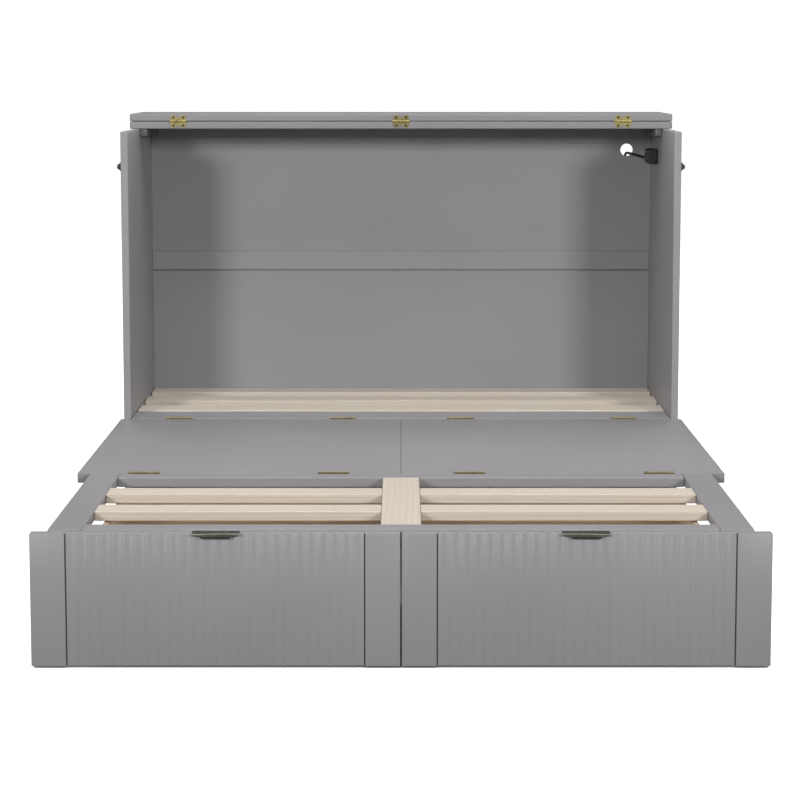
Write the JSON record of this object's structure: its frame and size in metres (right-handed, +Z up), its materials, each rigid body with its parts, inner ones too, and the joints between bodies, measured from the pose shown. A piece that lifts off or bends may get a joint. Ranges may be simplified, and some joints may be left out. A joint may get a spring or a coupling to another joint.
{
  "type": "cabinet murphy bed",
  "caption": "Free-standing chest that unfolds forward into a slatted bed platform resting on roll-out storage drawers, with a fold-back top and a built-in power outlet.",
  "frame": {"origin": "on the floor under the centre of the unfolded bed's footprint, cord left out", "axes": "+Z up, -Y towards the drawer fronts (the foot of the bed), +X to the right as seen from the foot"},
  "size_m": [1.6418, 2.245, 1.181],
  "materials": {
    "grey_paint": "satin grey paint on wood",
    "pine": "planed bare pine",
    "plywood": "bare plywood",
    "brass": "brass-plated steel",
    "gunmetal": "dark bronze, satin",
    "black_plastic": "moulded, fine texture",
    "cable_sheath": "soft matt sheath",
    "wheel": "nylon wheels pressed on a steel axle"
  },
  "bodies": {
    "cabinet": {"side_panel_left": "grey_paint", "side_panel_right": "grey_paint", "back_panel_upper": "grey_paint", "back_panel_lower": "grey_paint", "back_mid_rail": "grey_paint", "back_top_rail": "grey_paint", "top_slab_rear": "grey_paint", "top_slab_cleat_left": "grey_paint", "top_slab_cleat_right": "grey_paint", "head_front_rail": "grey_paint", "head_side_cleat_left": "pine", "head_side_cleat_right": "pine", "head_slat_front": "pine", "head_slat_middle": "pine", "head_slat_rear": "pine", "centre_divider": "grey_paint", "power_outlet": "black_plastic", "cord_strain_relief": "black_plastic", "power_cord": "cable_sheath", "cord_coil": "cable_sheath", "cord_plug": "black_plastic", "latch_base_left": "gunmetal", "latch_base_right": "gunmetal"},
    "top_flap": {"top_slab_flap": "grey_paint", "lid_hinge_left": "brass", "lid_hinge_centre": "brass", "lid_hinge_right": "brass"},
    "middle": {"middle_panel_left": "grey_paint", "middle_panel_right": "grey_paint", "latch_stud_left": "gunmetal", "latch_stud_right": "gunmetal", "head_hinge_1": "brass", "head_hinge_2": "brass", "head_hinge_3": "brass", "head_hinge_4": "brass", "foot_hinge_1": "brass", "foot_hinge_2": "brass", "foot_hinge_3": "brass", "foot_hinge_4": "brass"},
    "foot": {"foot_rail_left": "grey_paint", "foot_rail_right": "grey_paint", "foot_rail_rear": "grey_paint", "foot_rail_front": "grey_paint", "foot_centre_beam": "pine", "foot_slat_rear": "pine", "foot_slat_front": "pine"},
    "latch_left": {"latch_hook_left": "gunmetal"},
    "latch_right": {"latch_hook_right": "gunmetal"},
    "drawer_left": {"drawer_left_front": "grey_paint", "drawer_left_box": "plywood", "drawer_left_bottom": "plywood", "drawer_left_pull": "gunmetal"},
    "drawer_right": {"drawer_right_front": "grey_paint", "drawer_right_box": "plywood", "drawer_right_bottom": "plywood", "drawer_right_pull": "gunmetal"},
    "wheelset_left_front": {"drawer_left_wheelset_front": "wheel"},
    "wheelset_left_rear": {"drawer_left_wheelset_rear": "wheel"},
    "wheelset_right_front": {"drawer_right_wheelset_front": "wheel"},
    "wheelset_right_rear": {"drawer_right_wheelset_rear": "wheel"}
  },
  "joints": [
    {"name": "top_flap_hinge", "type": "hinge", "parent": "cabinet", "child": "top_flap", "pos_m": [0, 0.74525, 1.1585], "axis": [1, 0, 0], "range_deg": [0, 180]},
    {"name": "platform_fold", "type": "hinge", "parent": "cabinet", "child": "middle", "pos_m": [0, 0.46445, 0.304], "axis": [-1, 0, 0], "range_deg": [0, 90]},
    {"name": "foot_fold", "type": "hinge", "parent": "middle", "child": "foot", "pos_m": [0, -0.36155, 0.304], "axis": [-1, 0, 0], "range_deg": [0, 180]},
    {"name": "drawer_left_slide", "type": "slide", "parent": "cabinet", "child": "drawer_left", "axis": [0, 1, 0], "range_m": [0, 1.4825]},
    {"name": "drawer_right_slide", "type": "slide", "parent": "cabinet", "child": "drawer_right", "axis": [0, 1, 0], "range_m": [0, 1.4825]},
    {"name": "latch_left_swing", "type": "hinge", "parent": "cabinet", "child": "latch_left", "pos_m": [-0.8173, 0.49625, 1.034], "axis": [1, 0, 0], "range_deg": [0, 180]},
    {"name": "latch_right_swing", "type": "hinge", "parent": "cabinet", "child": "latch_right", "pos_m": [0.8173, 0.49625, 1.034], "axis": [1, 0, 0], "range_deg": [0, 180]},
    {"name": "wheelset_left_front_roll", "type": "hinge", "parent": "drawer_left", "child": "wheelset_left_front", "pos_m": [-0.343, -0.96875, 0.018], "axis": [1, 0, 0], "continuous": true},
    {"name": "wheelset_left_rear_roll", "type": "hinge", "parent": "drawer_left", "child": "wheelset_left_rear", "pos_m": [-0.343, -0.53875, 0.018], "axis": [1, 0, 0], "continuous": true},
    {"name": "wheelset_right_front_roll", "type": "hinge", "parent": "drawer_right", "child": "wheelset_right_front", "pos_m": [0.343, -0.96875, 0.018], "axis": [1, 0, 0], "continuous": true},
    {"name": "wheelset_right_rear_roll", "type": "hinge", "parent": "drawer_right", "child": "wheelset_right_rear", "pos_m": [0.343, -0.53875, 0.018], "axis": [1, 0, 0], "continuous": true}
  ],
  "couplings": [
    {"joint": "foot_fold", "follows": "platform_fold", "ratio": 2},
    {"joint": "drawer_left_slide", "follows": "platform_fold", "m_per_rad": 0.94378},
    {"joint": "drawer_right_slide", "follows": "platform_fold", "m_per_rad": 0.94378}
  ]
}
